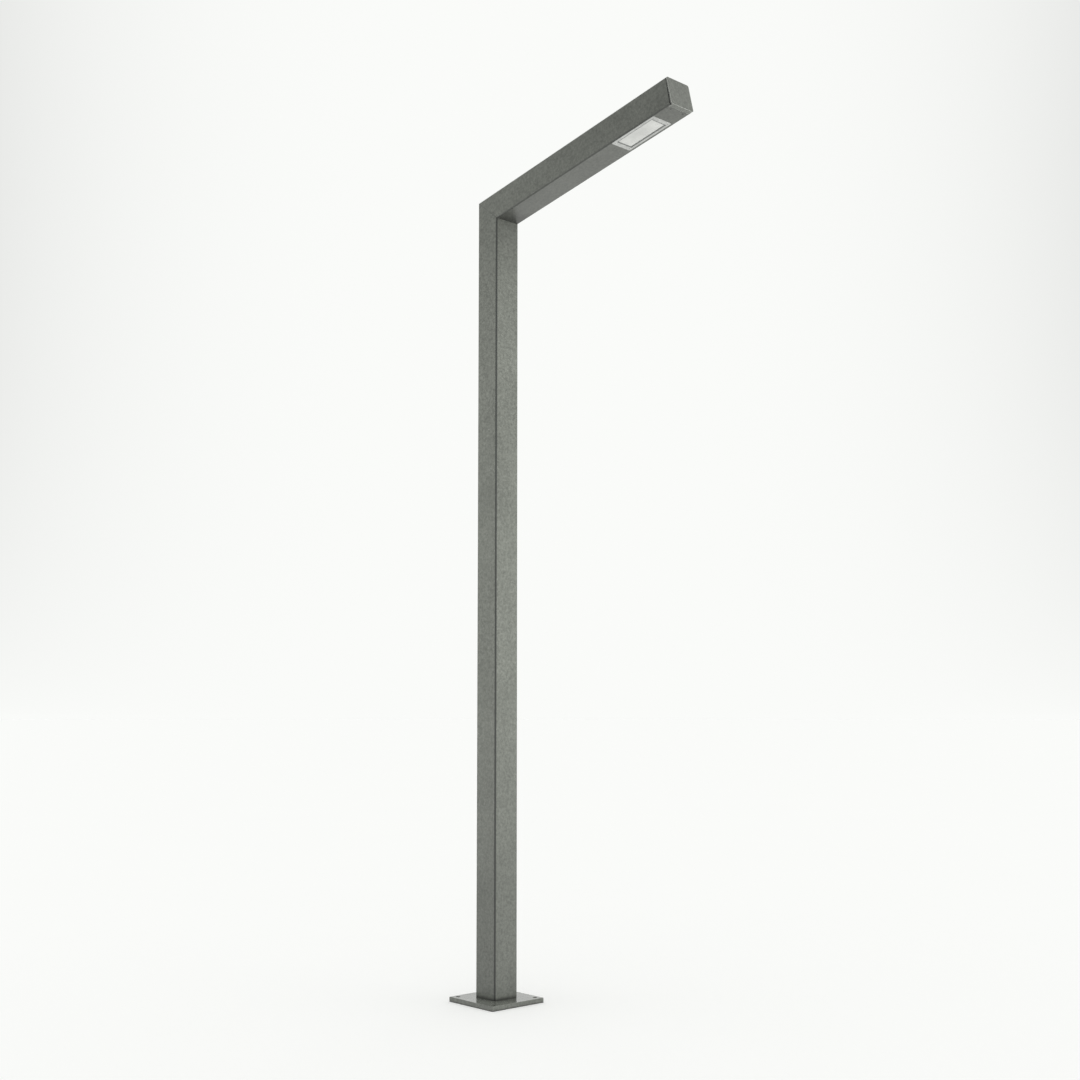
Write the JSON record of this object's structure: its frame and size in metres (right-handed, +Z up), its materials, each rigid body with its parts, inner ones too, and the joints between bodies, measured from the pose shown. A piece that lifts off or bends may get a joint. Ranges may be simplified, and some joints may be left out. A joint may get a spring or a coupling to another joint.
{
  "type": "street lamp post",
  "caption": "Square steel lamp post on a bolted base plate, with a mitred box arm rising slightly, an LED module in its underside and a lockable service door.",
  "frame": {"origin": "centre of the base plate's underside, on the post's axis", "axes": "+Z up along the post, +X the way the arm points, service door on the -X face"},
  "size_m": [1.1804, 0.27, 3.4957],
  "materials": {
    "painted_steel": "fine-textured satin powder coat, warm dark grey",
    "stainless": "stainless, satin",
    "zinc_steel": "zinc-plated, satin",
    "galvanised_sheet": "galvanised, matt",
    "folded_aluminium": "mill finish",
    "anodised_aluminium": "natural anodised, satin",
    "driver_aluminium": "satin",
    "aluminium_rivet": "satin",
    "copper_alloy": "tinned copper, satin",
    "brass_stud": "turned, satin",
    "frosted_glass": "frosted",
    "clear_plastic": "clear, glossy",
    "board_white": "white solder mask, matt",
    "led_yellow": "phosphor, matt",
    "white_plastic": "moulded, matt",
    "grey_plastic": "moulded, matt",
    "black_plastic": "moulded, matt",
    "terminal_beige": "moulded, matt",
    "ceramic_white": "ceramic, satin",
    "black_rubber": "sponge rubber, matt",
    "dark_rubber": "silicone, matt",
    "cable_black": "sheath, satin",
    "wire_brown": "insulation, satin",
    "wire_green": "insulation, satin"
  },
  "bodies": {
    "post": {"base_plate": "painted_steel", "post_tube": "painted_steel", "foot_weld": "painted_steel", "arm_tube": "painted_steel", "end_cap": "painted_steel", "end_cap_gasket": "black_rubber", "end_cap_spigot": "folded_aluminium", "end_cap_screws": "painted_steel", "module_bezel": "anodised_aluminium", "bezel_screws": "stainless", "glass_gasket": "dark_rubber", "module_glass": "frosted_glass", "heat_sink": "folded_aluminium", "led_board": "board_white", "led_chips": "led_yellow", "lens_array": "clear_plastic", "board_connector": "white_plastic", "driver_housing": "driver_aluminium", "driver_screws": "zinc_steel", "gear_tray": "folded_aluminium", "tray_studs": "zinc_steel", "tray_nuts": "zinc_steel", "driver_glands": "grey_plastic", "led_lead": "cable_black", "tray_clips": "grey_plastic", "feed_cable": "cable_black", "door_frame": "painted_steel", "door_gasket": "black_rubber", "hinge_post_halves": "painted_steel", "hinge_pins": "stainless", "gear_board": "galvanised_sheet", "board_studs": "zinc_steel", "board_spacers": "zinc_steel", "board_nuts": "zinc_steel", "mounting_rails": "galvanised_sheet", "rail_rivets": "aluminium_rivet", "fuse_holder": "grey_plastic", "carrier_pin": "stainless", "fuse_contacts": "copper_alloy", "surge_protector": "grey_plastic", "terminal_block": "terminal_beige", "terminal_screws": "zinc_steel", "link_wires": "wire_brown", "cable_clamp": "black_plastic", "earth_stud": "brass_stud", "earth_nuts": "brass_stud", "earth_lug": "copper_alloy", "earth_lead": "wire_green"},
    "door": {"door_leaf": "painted_steel", "hinge_door_halves": "painted_steel", "lock_barrel": "stainless", "lock_nut": "zinc_steel"},
    "lock": {"lock_spindle": "zinc_steel", "lock_cam": "zinc_steel", "cam_screw": "zinc_steel"},
    "fuse_drawer": {"fuse_carrier": "black_plastic", "cartridge_fuse": "ceramic_white"}
  },
  "joints": [
    {"name": "door_hinge", "type": "hinge", "parent": "post", "child": "door", "pos_m": [-0.065, 0.04075, 0.65], "axis": [0, 0, -1], "range_deg": [0, 110]},
    {"name": "lock_turn", "type": "hinge", "parent": "door", "child": "lock", "pos_m": [-0.055, -0.02, 0.65], "axis": [1, 0, 0], "range_deg": [0, 90]},
    {"name": "fuse_carrier_swing", "type": "hinge", "parent": "post", "child": "fuse_drawer", "pos_m": [-0.008, 0.014, 0.717], "axis": [0, -1, 0], "range_deg": [0, 75]}
  ]
}
